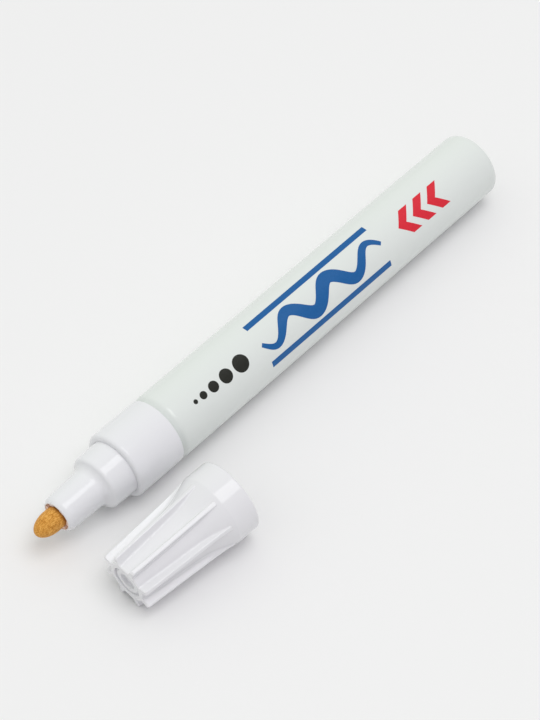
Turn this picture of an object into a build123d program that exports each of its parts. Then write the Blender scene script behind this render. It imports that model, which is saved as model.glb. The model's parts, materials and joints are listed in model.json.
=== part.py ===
from build123d import *
from math import atan2, cos, radians, sin
import os

# A valve-action paint marker lying on its side, with its ribbed cap taken off beside it.
# Millimetres. The marker's axis is the X axis. The origin is the centre of the flat tail,
# +X points out of the tail, so the nib points along -X, and +Z is up.

# Clearances
fit_clearance = 0.03
running_clearance = 0.08
face_clearance = 0.02
loose_clearance = 0.1
cut_overrun = 1.0

# Barrel: a moulded tube, closed at the tail, with a shoulder that slopes to a neck at the mouth
barrel_radius = 7.5
barrel_length = 99.2
barrel_wall = 1.1
tail_wall = 1.6
tail_round = 1.2
neck_drop_share = 0.73
neck_length = 0.34
shoulder_length = 1.1
shoulder_round = 1.5

# Collar: a sleeve flush with the barrel, and a plug that fits in the barrel
collar_length = 11.95
collar_round_share = 0.65
plug_length = 7.0
plug_wall = 1.25
seal_radius = 0.35

# Nose: the cap's seat, a sloped ledge, then a tube for the nib
cap_seat_step = 1.3
cap_seat_length = 5.5
cap_seat_taper = 0.25
cap_seat_round_share = 0.48
nose_length = 10.55
nose_wall = 0.85
nose_taper = 0.25
nose_round_share = 0.9
nose_root_share = 1.08
nose_ledge_run_share = 0.39
nib_chamber_step = 0.5

# Guides in the nose that the nib slides between
guide_count = 6
guide_width = 1.2
guide_height = 0.62
guide_length = 9.0
guide_setback = 0.35

# Nib: a fibre rod with a bullet point
nib_radius = 2.4
nib_length = 26.0
nib_reach = 5.7
nib_point_share = 0.75
nib_travel = 2.0
nib_stop_gap = 1.2

# Valve: seat, packing, rod, spring, housing and retainer
seat_thickness = 2.0
packing_thickness = 1.0
rod_radius = 1.2
flow_gap = 0.7
seal_overlap = 0.9
head_thickness = 1.2
housing_wall = 0.8
housing_length = 15.0
window_count = 4
window_width = 2.6
window_margin = 0.6
retainer_thickness = 1.5
retainer_flange = 1.0
rod_tail = 0.6
wire_radius = 0.25
spring_gap = 0.4
spring_turns = 6

# Mixing ball
ball_radius = 3.2
ball_place_share = 0.45

# Cap shell: a plain band at the mouth, then straight ribs on a tapering core
cap_length = 27.55
cap_fit = 0.1
cap_bore_extra = 0.8
cap_band_wall = 1.78
cap_band_length = 5.35
mouth_edge_round = 0.5
rib_count = 8
rib_width = 1.2
rib_height = 2.0
rib_end_round = 0.5
rib_start_gap = 0.85
rib_start_drop = 0.14
rib_bend_share = 0.22
rib_bend_drop = 0.2
core_knee_share = 0.277
core_knee_drop = 1.04
end_wall = 1.1

# Inner cap: a liner that seals on the nose, with a boss in the end hole of the shell
liner_setback = 1.0
liner_clearance = 0.1
liner_wall = 0.65
liner_nose_gap = 0.6
liner_nib_gap = 1.1
liner_end_share = 0.18
boss_radius = 2.9
boss_gap = 0.5
boss_recess_share = 0.055
boss_hole_radius = 1.9
boss_hole_share = 0.25
gate_radius = 0.35
gate_share = 0.5

# Where the cap lies beside the marker
cap_spacing = 6.42
cap_mouth_ahead = 2.05
cap_yaw = -4.15

# Radii that follow from the sizes above
barrel_bore = barrel_radius - barrel_wall
neck_radius = barrel_radius - barrel_wall * neck_drop_share
plug_radius = barrel_bore - fit_clearance
plug_bore = plug_radius - plug_wall
valve_radius = plug_bore - fit_clearance
housing_bore = valve_radius - housing_wall
flow_radius = rod_radius + flow_gap
head_radius = flow_radius + seal_overlap
cap_seat_radius = barrel_radius - cap_seat_step
cap_seat_front_radius = cap_seat_radius - cap_seat_taper
nose_bore = cap_seat_radius + fit_clearance
nib_bore = nib_radius + running_clearance + guide_height
nose_tip_radius = nib_bore + nose_wall
nose_root_radius = nose_tip_radius + nose_taper
nib_chamber = nib_bore + nib_chamber_step

# Places along the marker, from the tail forward
seam_x = -barrel_length
neck_x = seam_x + neck_length
shoulder_x = neck_x + shoulder_length
collar_front_x = seam_x - collar_length
cap_seat_front_x = collar_front_x - cap_seat_length
nose_front_x = cap_seat_front_x - nose_length
nib_tip_x = nose_front_x - nib_reach
nib_rear_x = nib_tip_x + nib_length
plug_rear_x = seam_x + plug_length
seat_front_x = nib_rear_x + nib_travel + nib_stop_gap
seat_rear_x = seat_front_x + seat_thickness
packing_rear_x = seat_rear_x + packing_thickness
housing_rear_x = packing_rear_x + housing_length
retainer_front_x = housing_rear_x - retainer_thickness
retainer_rear_x = housing_rear_x + retainer_flange
head_front_x = packing_rear_x + face_clearance
head_rear_x = head_front_x + head_thickness
rod_rear_x = retainer_rear_x + rod_tail

os.makedirs("parts", exist_ok=True)

# Barrel
with BuildPart() as barrel:
    with BuildSketch(Plane.XZ):
        with BuildLine():
            Polyline(
                (0, 0),
                (0, barrel_radius),
                (shoulder_x, barrel_radius),
                (neck_x, neck_radius),
                (seam_x, neck_radius),
                (seam_x, barrel_bore),
                (-tail_wall, barrel_bore),
                (-tail_wall, 0),
                close=True,
            )
        make_face()
    revolve(axis=Axis.X)
    tail_edge = barrel.edges().group_by(Axis.X)[-1].sort_by(SortBy.RADIUS)[-1]
    fillet(tail_edge, tail_round)
    fillet(barrel.edges().filter_by_position(Axis.X, shoulder_x, shoulder_x), shoulder_round)
barrel.part.label = "barrel"
export_step(barrel.part, "parts/barrel.step")

# Seal ring between the collar's plug and the barrel
seal_x = seam_x + plug_length / 2
seal_ring_radius = barrel_bore - fit_clearance - seal_radius
seal_groove_radius = seal_ring_radius - seal_radius - fit_clearance
with BuildPart() as barrel_seal:
    with BuildSketch(Plane.XZ):
        with Locations((seal_x, seal_ring_radius)):
            Circle(seal_radius)
    revolve(axis=Axis.X)
barrel_seal.part.label = "barrel_seal"
export_step(barrel_seal.part, "parts/barrel_seal.step")

# Collar
seal_groove_half = seal_radius + fit_clearance
with BuildPart() as collar:
    with BuildSketch(Plane.XZ):
        with BuildLine():
            Polyline(
                (collar_front_x, nose_bore),
                (collar_front_x, barrel_radius),
                (seam_x, barrel_radius),
                (seam_x, plug_radius),
                (seal_x - seal_groove_half, plug_radius),
                (seal_x - seal_groove_half, seal_groove_radius),
                (seal_x + seal_groove_half, seal_groove_radius),
                (seal_x + seal_groove_half, plug_radius),
                (plug_rear_x, plug_radius),
                (plug_rear_x, plug_bore),
                (seat_front_x, plug_bore),
                (seat_front_x, nose_bore),
                close=True,
            )
        make_face()
    revolve(axis=Axis.X)
    front_edge = collar.edges().group_by(Axis.X)[0].sort_by(SortBy.RADIUS)[-1]
    fillet(front_edge, cap_seat_step * collar_round_share)
collar.part.label = "collar"
export_step(collar.part, "parts/collar.step")

# Nose: cap seat, sloped ledge with a hollow root, nib tube and the guides in its bore
nose_ledge = cap_seat_front_radius - nose_root_radius
nose_root_x = cap_seat_front_x - nose_ledge * nose_ledge_run_share
chamber_front_x = nose_front_x + guide_length
guide_inner = nib_radius + running_clearance
guide_middle = guide_inner + (guide_height + nose_wall / 2) / 2
with BuildPart() as nose:
    with BuildSketch(Plane.XZ):
        with BuildLine():
            Polyline(
                (seat_front_x, nib_chamber),
                (seat_front_x, cap_seat_radius),
                (collar_front_x, cap_seat_radius),
                (cap_seat_front_x, cap_seat_front_radius),
                (nose_root_x, nose_root_radius),
                (nose_front_x, nose_tip_radius),
                (nose_front_x, nib_bore),
                (chamber_front_x, nib_bore),
                (chamber_front_x + nib_chamber_step, nib_chamber),
                close=True,
            )
        make_face()
    revolve(axis=Axis.X)
    root_edges = nose.edges().filter_by_position(Axis.X, nose_root_x, nose_root_x)
    seat_edges = nose.edges().filter_by_position(Axis.X, cap_seat_front_x, cap_seat_front_x)
    fillet(root_edges.sort_by(SortBy.RADIUS)[-1], nose_ledge * nose_root_share)
    fillet(seat_edges.sort_by(SortBy.RADIUS)[-1], nose_ledge * cap_seat_round_share)
    front_edge = nose.edges().group_by(Axis.X)[0].sort_by(SortBy.RADIUS)[-1]
    fillet(front_edge, nose_wall * nose_round_share)
    with BuildSketch(Plane.YZ.offset(nose_front_x + guide_setback)):
        with PolarLocations(guide_middle, guide_count):
            Rectangle(guide_height + nose_wall / 2, guide_width)
    extrude(amount=guide_length - guide_setback)
nose.part.label = "nose"
export_step(nose.part, "parts/nose.step")

# Nib
nib_point_x = nib_tip_x + nib_reach * nib_point_share
with BuildPart() as nib:
    with BuildSketch(Plane.XZ):
        with BuildLine():
            EllipticalCenterArc(
                (nib_point_x, 0),
                x_radius=nib_point_x - nib_tip_x,
                y_radius=nib_radius,
                start_angle=90,
                arc_size=90,
            )
            Polyline(
                (nib_point_x, nib_radius),
                (nib_rear_x, nib_radius),
                (nib_rear_x, 0),
                (nib_tip_x, 0),
            )
        make_face()
    revolve(axis=Axis.X)
nib.part.label = "nib"
export_step(nib.part, "parts/nib.step")

# Valve seat, a disc behind the nose with the flow hole
with BuildPart() as valve_seat:
    with BuildSketch(Plane.YZ.offset(seat_front_x)):
        Circle(valve_radius)
        Circle(flow_radius, mode=Mode.SUBTRACT)
    extrude(amount=seat_thickness)
valve_seat.part.label = "valve_seat"
export_step(valve_seat.part, "parts/valve_seat.step")

# Rubber packing that the head of the rod closes on
with BuildPart() as seat_packing:
    with BuildSketch(Plane.YZ.offset(seat_rear_x)):
        Circle(valve_radius)
        Circle(flow_radius, mode=Mode.SUBTRACT)
    extrude(amount=packing_thickness)
seat_packing.part.label = "seat_packing"
export_step(seat_packing.part, "parts/seat_packing.step")

# Valve rod: stem to the nib, head on the packing, tail through the retainer
with BuildPart() as valve_rod:
    with BuildSketch(Plane.XZ):
        with BuildLine():
            Polyline(
                (nib_rear_x, 0),
                (nib_rear_x, rod_radius),
                (head_front_x, rod_radius),
                (head_front_x, head_radius),
                (head_rear_x, head_radius),
                (head_rear_x, rod_radius),
                (rod_rear_x, rod_radius),
                (rod_rear_x, 0),
                close=True,
            )
        make_face()
    revolve(axis=Axis.X)
    fillet(valve_rod.edges().group_by(Axis.X)[-1], rod_radius / 2)
valve_rod.part.label = "valve_rod"
export_step(valve_rod.part, "parts/valve_rod.step")

# Valve housing: a cage with windows for the paint
window_front_x = plug_rear_x + window_margin
window_rear_x = retainer_front_x - window_margin
with BuildPart() as valve_housing:
    with BuildSketch(Plane.YZ.offset(packing_rear_x)):
        Circle(valve_radius)
        Circle(housing_bore, mode=Mode.SUBTRACT)
    extrude(amount=housing_length)
    with BuildSketch(Plane.YZ.offset(window_front_x)):
        with PolarLocations(valve_radius, window_count):
            Rectangle(2 * (housing_wall + cut_overrun), window_width)
    extrude(amount=window_rear_x - window_front_x, mode=Mode.SUBTRACT)
valve_housing.part.label = "valve_housing"
export_step(valve_housing.part, "parts/valve_housing.step")

# Spring retainer: a stepped plug in the rear of the housing
retainer_radius = housing_bore - fit_clearance
with BuildPart() as spring_retainer:
    with BuildSketch(Plane.YZ.offset(retainer_front_x)):
        Circle(retainer_radius)
    extrude(amount=retainer_thickness)
    with BuildSketch(Plane.YZ.offset(housing_rear_x)):
        Circle(valve_radius)
    extrude(amount=retainer_flange)
    with BuildSketch(Plane.YZ.offset(retainer_front_x)):
        Circle(rod_radius + running_clearance)
    extrude(amount=retainer_thickness + retainer_flange, mode=Mode.SUBTRACT)
spring_retainer.part.label = "spring_retainer"
export_step(spring_retainer.part, "parts/spring_retainer.step")

# Valve spring, a coil round the rod between its head and the retainer
coil_radius = rod_radius + spring_gap + wire_radius
coil_front_x = head_rear_x + face_clearance + wire_radius
coil_rear_x = retainer_front_x - face_clearance - wire_radius
coil_height = coil_rear_x - coil_front_x
with BuildPart() as valve_spring:
    with BuildLine():
        coil = Helix(
            pitch=coil_height / spring_turns,
            height=coil_height,
            radius=coil_radius,
            center=(coil_front_x, 0, 0),
            direction=(1, 0, 0),
        )
    with BuildSketch(Plane(origin=coil @ 0, z_dir=coil % 0)):
        Circle(wire_radius)
    sweep(path=coil, is_frenet=True)
valve_spring.part.label = "valve_spring"
export_step(valve_spring.part, "parts/valve_spring.step")

# Mixing ball, loose on the bottom of the barrel's bore
ball_run_front_x = rod_rear_x + nib_travel + ball_radius
ball_run_rear_x = -tail_wall - ball_radius
ball_x = ball_run_front_x + (ball_run_rear_x - ball_run_front_x) * ball_place_share
ball_z = ball_radius + loose_clearance - barrel_bore
with BuildPart() as mixing_ball:
    with Locations((ball_x, 0, ball_z)):
        Sphere(ball_radius)
mixing_ball.part.label = "mixing_ball"
export_step(mixing_ball.part, "parts/mixing_ball.step")

# Sizes of the cap and its liner that follow from the nose and nib that they cover
cap_bore = cap_seat_radius + cap_fit
cap_bore_depth = cap_seat_length + cap_bore_extra
cap_band_radius = cap_bore + cap_band_wall
liner_start = cap_bore_depth + liner_setback
liner_bore = nose_root_radius + liner_clearance
liner_radius = liner_bore + liner_wall
liner_step = cap_seat_length + nose_length + liner_nose_gap
liner_nib_bore = nib_radius + liner_nib_gap
liner_end_radius = liner_nib_bore + liner_wall
liner_floor = cap_seat_length + nose_length + nib_reach + liner_nib_gap
end_depth = cap_length - liner_floor
liner_rear = liner_floor + end_depth * liner_end_share
boss_rear = cap_length - end_depth * boss_recess_share
boss_hole_depth = (boss_rear - liner_rear) * boss_hole_share
boss_hole_floor = boss_rear - boss_hole_depth
gate_rear = boss_hole_floor + boss_hole_depth * gate_share

# Core of the cap shell, from the band down to the wall round the end hole
end_hole = boss_radius + boss_gap
core_end_radius = end_hole + end_wall
core_length = cap_length - cap_band_length
core_fall = cap_band_radius - core_end_radius
core_knee = cap_band_length + core_length * core_knee_share
core_knee_radius = cap_band_radius - core_fall * core_knee_share - core_knee_drop
core_slope = (core_knee_radius - core_end_radius) / (cap_length - core_knee)
core_rear_radius = core_end_radius + core_slope * (cap_length - liner_rear)

# Ribs on the core
rib_end_radius = core_end_radius + rib_height
rib_start = cap_band_length + rib_start_gap
rib_start_radius = cap_band_radius - rib_start_drop

# The cap lies on the edge of its band and on two ribs, which sets its tilt and height
rib_pitch = 360 / rib_count
rib_lean = radians(rib_pitch / 2)
rest_radius = rib_end_radius * cos(rib_lean) + rib_width / 2 * sin(rib_lean)
rest_length = cap_length - rib_end_round - cap_band_length
cap_tilt = atan2(cap_band_radius - rest_radius, rest_length)
cap_mouth_z = cap_band_length * sin(cap_tilt) + cap_band_radius * cos(cap_tilt) - barrel_radius
cap_mouth_y = -(barrel_radius + cap_spacing + cap_band_radius)
cap_mouth = Vector(seam_x - cap_mouth_ahead, cap_mouth_y, cap_mouth_z)
yaw = radians(cap_yaw)
cap_direction = Vector(
    -cos(yaw) * cos(cap_tilt),
    -sin(yaw) * cos(cap_tilt),
    -sin(cap_tilt),
)
cap_side = Vector(-sin(yaw), cos(yaw), 0)
cap_profile = Plane(origin=cap_mouth, x_dir=cap_direction, z_dir=cap_side)
cap_axis = Axis(cap_mouth, cap_direction)

# One rib: a plate along the cap whose outer edge bends in from the band and then tapers
rib_bend = rib_start + (cap_length - rib_start) * rib_bend_share
rib_slope = (rib_start_radius - rib_end_radius) / (cap_length - rib_start)
rib_bend_radius = rib_start_radius - rib_slope * (rib_bend - rib_start) - rib_bend_drop
rib_shoulder = cap_length - rib_end_round
rib_root_start = (cap_band_radius + liner_radius) / 2
rib_root_rear = (core_rear_radius + liner_end_radius) / 2
rib_root_end = (end_hole + core_end_radius) / 2
with BuildPart() as rib:
    with BuildSketch(cap_profile):
        with BuildLine():
            taper = Line((rib_shoulder, rib_end_radius), (rib_bend, rib_bend_radius))
            TangentArc(taper @ 1, (rib_start, rib_start_radius), tangent=taper % 1)
            Polyline(
                (rib_start, rib_start_radius),
                (rib_start, rib_root_start),
                (liner_rear, rib_root_rear),
                (cap_length, rib_root_end),
                (cap_length, rib_end_radius - rib_end_round),
            )
            TangentArc(taper @ 0, (cap_length, rib_end_radius - rib_end_round), tangent=-(taper % 0))
        make_face()
    extrude(amount=rib_width / 2, both=True)

# Cap shell
with BuildPart() as cap_shell:
    with BuildSketch(cap_profile):
        with BuildLine():
            Polyline(
                (mouth_edge_round, cap_band_radius),
                (cap_band_length, cap_band_radius),
                (core_knee, core_knee_radius),
                (cap_length, core_end_radius),
                (cap_length, end_hole),
                (liner_rear, end_hole),
                (liner_rear, liner_end_radius + fit_clearance),
                (liner_step, liner_radius + fit_clearance),
                (cap_bore_depth, liner_radius + fit_clearance),
                (cap_bore_depth, cap_bore),
                (0, cap_bore),
                (0, cap_band_radius - mouth_edge_round),
            )
            CenterArc((mouth_edge_round, cap_band_radius - mouth_edge_round), mouth_edge_round, 90, 90)
        make_face()
    revolve(axis=cap_axis)
    add([rib.part.rotate(cap_axis, (turn + 1 / 2) * rib_pitch) for turn in range(rib_count)])
cap_shell.part.label = "cap_shell"
export_step(cap_shell.part, "parts/cap_shell.step")

# Inner cap
with BuildPart() as inner_cap:
    with BuildSketch(cap_profile):
        with BuildLine():
            Polyline(
                (liner_start, liner_bore),
                (liner_start, liner_radius),
                (liner_step, liner_radius),
                (liner_rear, liner_end_radius),
                (liner_rear, boss_radius),
                (boss_rear, boss_radius),
                (boss_rear, boss_hole_radius),
                (boss_hole_floor, boss_hole_radius),
                (boss_hole_floor, gate_radius),
                (gate_rear, gate_radius),
                (gate_rear, 0),
                (liner_floor, 0),
                (liner_floor, liner_nib_bore),
                (liner_step, liner_nib_bore),
                (liner_step, liner_bore),
                close=True,
            )
        make_face()
    revolve(axis=cap_axis)
inner_cap.part.label = "inner_cap"
export_step(inner_cap.part, "parts/inner_cap.step")
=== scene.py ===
import json
from math import atan2, ceil, cos, pi, radians, sin, sqrt, tan

import bmesh
import bpy
from bpy.props import FloatProperty, FloatVectorProperty, IntProperty, PointerProperty
from mathutils import Matrix, Vector, noise


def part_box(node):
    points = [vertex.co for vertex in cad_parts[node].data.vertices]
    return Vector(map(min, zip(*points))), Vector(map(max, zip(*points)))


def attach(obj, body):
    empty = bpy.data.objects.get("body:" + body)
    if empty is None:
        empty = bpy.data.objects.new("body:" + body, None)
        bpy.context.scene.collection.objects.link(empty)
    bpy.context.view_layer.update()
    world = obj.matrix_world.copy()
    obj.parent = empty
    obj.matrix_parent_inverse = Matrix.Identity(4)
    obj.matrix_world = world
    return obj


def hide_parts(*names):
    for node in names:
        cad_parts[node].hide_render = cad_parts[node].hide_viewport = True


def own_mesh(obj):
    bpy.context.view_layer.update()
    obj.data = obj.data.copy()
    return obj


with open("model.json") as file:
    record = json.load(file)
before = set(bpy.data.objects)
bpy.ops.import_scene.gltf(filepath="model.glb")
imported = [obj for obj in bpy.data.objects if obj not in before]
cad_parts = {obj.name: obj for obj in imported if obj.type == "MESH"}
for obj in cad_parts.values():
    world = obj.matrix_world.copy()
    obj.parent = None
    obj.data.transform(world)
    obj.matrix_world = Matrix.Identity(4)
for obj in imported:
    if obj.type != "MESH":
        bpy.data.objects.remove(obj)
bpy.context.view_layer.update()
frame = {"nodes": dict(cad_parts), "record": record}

# A valve-action paint marker lying on its side, with its ribbed cap pulled off beside it.
# Metres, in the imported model's frame: the tail's centre is the origin, the nib points along -X.

bl_info = {
    "name": "Paint Marker",
    "version": (1, 0, 0),
    "blender": (4, 5, 0),
    "location": "View3D > Sidebar > Marker",
    "description": "Dresses the packed solids of a paint marker whose cap lies beside it",
    "category": "Object",
}

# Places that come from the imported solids
barrel_low, barrel_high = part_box("barrel")
collar_low, collar_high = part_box("collar")
nose_low, nose_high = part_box("nose")
nib_low, nib_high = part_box("nib")
seal_low, seal_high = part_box("barrel_seal")
spring_low, spring_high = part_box("valve_spring")
floor_height = barrel_low.z

# How finely curves are divided
arc_step = radians(10)
round_segments = 192
rib_points = 40
root_steps = 12
fillet_share = 0.85
root_share = 0.8
smooth_share = 0.25
sharp_angle = radians(38)
lead = 0.00005
lead_limit = 4

# How the finishes vary
polished_grain = 0.000005
moulded_grain = 0.00003
rubber_grain = 0.00004
gloss_spread = (0.85, 1.15)
steel_gloss_share = 0.7
scuff_dulling = 0.5
ink_thinning = 1.15
ink_lift = 0.01
stain_edge = (0.00025, 0.0001)
stain_raggedness = 0.0003
stain_height_shares = (0.75, 0.55)
# Where the painted shade on the nib begins and ends, measured from the nose's front
nose_shade_reach = (-0.0007, 0.0002)


# Sizes and colours


def setting(kind, **limits):
    """A maker of properties of one kind, each with its name, description and default."""

    def make(name, description, default, **more):
        return kind(name=name, description=description, default=default, **limits, **more)

    return make


number = setting(IntProperty)
length = setting(FloatProperty, min=0, unit="LENGTH", precision=5)
share = setting(FloatProperty, min=0, max=1, subtype="FACTOR")
measure = setting(FloatProperty, min=0)
direction = setting(FloatProperty, subtype="ANGLE")
position = setting(FloatVectorProperty, size=3, subtype="XYZ", unit="LENGTH")
colour = setting(FloatVectorProperty, size=3, min=0, max=1, subtype="COLOR")


class BodySizes(bpy.types.PropertyGroup):
    """Barrel, collar, nose and nib."""

    radius: length("Barrel radius", "Outside of the barrel and collar", barrel_high.z)
    tail_wall: length("Tail wall", "Thickness of the closed tail", 0.0016)
    tail_round: length("Tail round", "Rounding of the tail's edge", 0.0012)
    neck_radius: length("Neck radius", "Barrel's radius at its mouth", 0.0067)
    neck_length: length("Neck length", "Length of the barrel's neck", 0.00034)
    shoulder_length: length("Shoulder length", "Length of the slope down to the neck", 0.0011)
    shoulder_round: length("Shoulder round", "Rounding where the slope begins", 0.0015)
    bore: length("Barrel bore", "Inside radius of the barrel", 0.0064)
    fit: length("Fit", "Gap between pieces that fit together", 0.00003)
    collar_round: length("Collar round", "Rounding of the collar's front edge", 0.000845)
    plug_bore: length("Plug bore", "Inside radius of the collar's plug", 0.00512)
    seat_length: length("Cap seat length", "Length of the nose that the cap closes on", 0.0055)
    seat_taper: length("Cap seat taper", "Loss of radius along the cap seat", 0.00025)
    seat_round: length("Cap seat round", "Rounding of the cap seat's front edge", 0.00084)
    ledge_run: length("Ledge run", "Length of the slope from cap seat to nib tube", 0.00068)
    ledge_round: length("Ledge round", "Hollow rounding between slope and nib tube", 0.00189)
    tube_root: length("Tube root radius", "Nib tube's radius at the ledge", 0.0042)
    tube_tip: length("Tube tip radius", "Nib tube's radius at its front", 0.00395)
    rim_run: length("Rim run", "Length of the slope at the nib tube's rim", 0.0008)
    rim_land: length("Rim land", "Width of the nib tube's flat rim", 0.00025)
    rim_round: length("Rim round", "Rounding behind the nib tube's rim", 0.0016)
    tube_bore: length("Tube bore", "Inside radius of the nib tube", 0.0031)
    chamber: length("Chamber radius", "Inside radius behind the guides", 0.0036)
    guide_count: number("Guides", "Guides round the nib", 6, min=2)
    guide_width: length("Guide width", "Width of one guide", 0.0012)
    guide_radius: length("Guide radius", "Radius that the guides leave free", 0.00248)
    guide_length: length("Guide length", "How far the guides run back from the front", 0.009)
    guide_setback: length("Guide setback", "Where the guides start behind the front", 0.00015)
    edge_round: length("Edge round", "Rounding of small moulded edges", 0.00012)
    point_share: share("Point share", "Share of the nib's reach that is pointed", 0.75)
    fibre_depth: length("Fibre depth", "Depth of the furrows between the nib's fibres", 0.00004)


class CapSizes(bpy.types.PropertyGroup):
    """Ribbed cap shell and its liner, measured from the mouth."""

    cap_length: length("Cap length", "From the mouth to the closed end", 0.02755)
    band_radius: length("Band radius", "Outside of the plain band", 0.00808)
    band_length: length("Band length", "Length of the plain band", 0.00535)
    mouth_round: length("Mouth round", "Rounding of the mouth's outer edge", 0.0005)
    bore: length("Bore", "Inside radius at the mouth", 0.0063)
    bore_depth: length("Bore depth", "Depth of the bore at the mouth", 0.0063)
    core_radius: length("Core end radius", "Core's radius at the closed end", 0.0045)
    knee: length("Knee", "Where the core's taper changes", 0.0115)
    knee_radius: length("Knee radius", "Core's radius at the knee", 0.00605)
    rib_count: number("Ribs", "Ribs round the cap", 8, min=3)
    rib_half: length("Rib half width", "Half of a rib's width at its top", 0.00045)
    rib_flare: length("Rib flare", "How much wider a rib's foot is on each side", 0.00015)
    rib_start: length("Rib start", "Where the ribs rise from the core", 0.0062)
    rib_start_radius: length("Rib start radius", "Top of a rib at its start", 0.00794)
    rib_bend: length("Rib bend", "Where a rib becomes straight", 0.0109)
    rib_bend_radius: length("Rib bend radius", "Top of a rib at its bend", 0.00742)
    rib_end_radius: length("Rib end radius", "Top of a rib at the closed end", 0.0065)
    rib_end_round: length("Rib end round", "Rounding of a rib's end", 0.0005)
    rib_edge: length("Rib edge", "Rounding along a rib's edges", 0.00022)
    rib_root: length("Rib root", "Hollow rounding beside a rib", 0.0006)
    rib_corner: length("Rib corner", "Rounding of a rib's square start", 0.0003)
    end_hole: length("End hole", "Radius of the hole in the closed end", 0.0034)
    liner_start: length("Liner start", "Where the liner begins", 0.0073)
    liner_bore: length("Liner bore", "Inside radius round the nib tube", 0.0043)
    liner_radius: length("Liner radius", "Outside of the liner", 0.00495)
    liner_step: length("Liner step", "Where the liner narrows", 0.01665)
    liner_nib_bore: length("Liner nib bore", "Inside radius round the nib", 0.0035)
    liner_end_radius: length("Liner end radius", "Outside at the liner's end", 0.00415)
    liner_floor: length("Liner floor", "Depth of the liner", 0.02285)
    liner_rear: length("Liner rear", "Rear face of the liner", 0.0237)
    boss_radius: length("Boss radius", "Outside of the liner's boss", 0.0029)
    boss_rear: length("Boss rear", "Rear face of the boss", 0.02729)
    boss_hole: length("Boss hole", "Radius of the hole in the boss", 0.0019)
    shoulder_radius: length("Shoulder radius", "Outside of the shoulder round the boss", 0.00335)
    shoulder_rear: length("Shoulder rear", "Rear face of the shoulder", 0.02695)
    boss_floor: length("Boss floor", "Bottom of the boss's hole", 0.02639)
    gate_radius: length("Gate radius", "Radius of the moulding nub", 0.00035)
    gate_rear: length("Gate rear", "Top of the moulding nub", 0.02684)


class PrintSizes(bpy.types.PropertyGroup):
    """Generic print on the barrel."""

    film: length("Ink film", "Thickness of the ink", 0.00002)
    bar_width: length("Bar width", "Width of the two plain bars", 0.0014)
    dot_small: length("Smallest dot", "Radius of the smallest dot", 0.0005)
    dot_large: length("Largest dot", "Radius of the largest dot", 0.0019)
    chevron_width: length("Chevron width", "Stroke of a chevron, along the barrel", 0.0026)
    chevron_reach: length("Chevron reach", "Half of a chevron's span", 0.0029)
    dot_gap: length("Dot gap", "Gap between two dots", 0.0009)
    wave_width: length("Wave width", "Widest stroke of the wave", 0.003)
    wave_height: length("Wave height", "Height of the wave from its middle line", 0.0021)


class Colours(bpy.types.PropertyGroup):
    """Linear colours of the finishes."""

    barrel: colour("Barrel white", "White with a trace of green", (0.767, 0.805, 0.778))
    barrel_shade: colour("Barrel shade", "Slightly deeper white", (0.747, 0.785, 0.758))
    plastic: colour("Plastic white", "Cool white of collar and nose", (0.821, 0.826, 0.846))
    plastic_shade: colour("Plastic shade", "Slightly deeper white", (0.806, 0.811, 0.832))
    cap: colour("Cap white", "Cool white of the cap and its liner", (0.816, 0.817, 0.835))
    cap_shade: colour("Cap shade", "Slightly deeper white", (0.801, 0.802, 0.82))
    # Fibre light, middle and dark follow the nib's bump: partly the fibres' own tone, partly painted
    # light on raised fibres and painted shade in furrows
    nib_light: colour("Fibre light", "Raised fibres of the nib", (0.90, 0.52, 0.14))
    nib_middle: colour("Fibre middle", "Most of the nib", (0.72, 0.32, 0.045))
    # Fibre dark is also the colour of the painted shade where the nib enters the nose
    nib_dark: colour("Fibre dark", "Furrows between fibres", (0.34, 0.11, 0.008))
    # The stain's colour also tints the painted glow in the nose's bore
    stain: colour("Stain", "Paint dried in the nose's bore", (0.62, 0.39, 0.27))
    blue: colour("Blue ink", "Blue of bars and wave", (0.003, 0.098, 0.308))
    red: colour("Red ink", "Red of the chevrons", (0.65, 0.015, 0.032))
    black: colour("Black ink", "Black of the dots", (0.007, 0.008, 0.004))
    floor: colour("Floor", "Pale floor", (0.863, 0.863, 0.863))
    fill_left: colour("Fill left", "Soft light from +Y", (0.946, 0.99, 0.922))
    fill_right: colour("Fill right", "Soft light from -Y", (0.975, 0.932, 1.0))


class StageSettings(bpy.types.PropertyGroup):
    """Camera and light."""

    camera_place: position("Camera place", "Where the camera stands", (-0.3061, -0.2163, 0.3873))
    camera_azimuth: direction("Camera azimuth", "Direction of view from +X towards +Y", radians(41.949))
    camera_drop: direction("Camera drop", "Angle of view below the horizon", radians(50.716))
    lens: measure("Lens", "Focal length for a 36 mm frame", 122.9, unit="CAMERA")
    key_place: position("Key place", "Soft box, from the floor below the nose", (0.2, -0.58, 2.0))
    key_size: length("Key size", "Diameter of the round soft box", 1.48)
    key_power: measure("Key power", "Power of the soft box", 12.8, unit="POWER")
    fill: measure("Fill", "Strength of the soft light all round", 0.796)
    fill_lean: share("Fill lean", "How much brighter the soft light is from +Y", 0.2)
    fill_top: share("Fill top", "Share of the soft light that fades towards the horizon", 0.5)
    backdrop: measure("Backdrop", "Strength of the surroundings as seen and mirrored", 0.83)
    floor_size: length("Floor size", "Side of the floor", 6.0)


# Outlines and meshes


def even_parts(count):
    """Shares from 0 to 1 in even steps."""
    return [step / count for step in range(count + 1)]


def even_angles(count=round_segments):
    """Angles spread evenly round a circle."""
    return [2 * pi * index / count for index in range(count)]


def corner_arc(before, corner, after, rounding):
    """Points of the arc that rounds a corner between its two neighbours."""
    sides = (before - corner, after - corner)
    half = sides[0].angle(sides[1]) / 2
    reach = min(rounding / tan(half), fillet_share * min(side.length for side in sides))
    radius = reach * tan(half)
    inward = (sides[0].normalized() + sides[1].normalized()).normalized()
    centre = corner + inward * (radius / sin(half))
    first, last = ((corner + side.normalized() * reach - centre).normalized() for side in sides)
    steps = max(2, ceil((pi - 2 * half) / arc_step))
    return [centre + first.slerp(last, part) * radius for part in even_parts(steps)]


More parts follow.
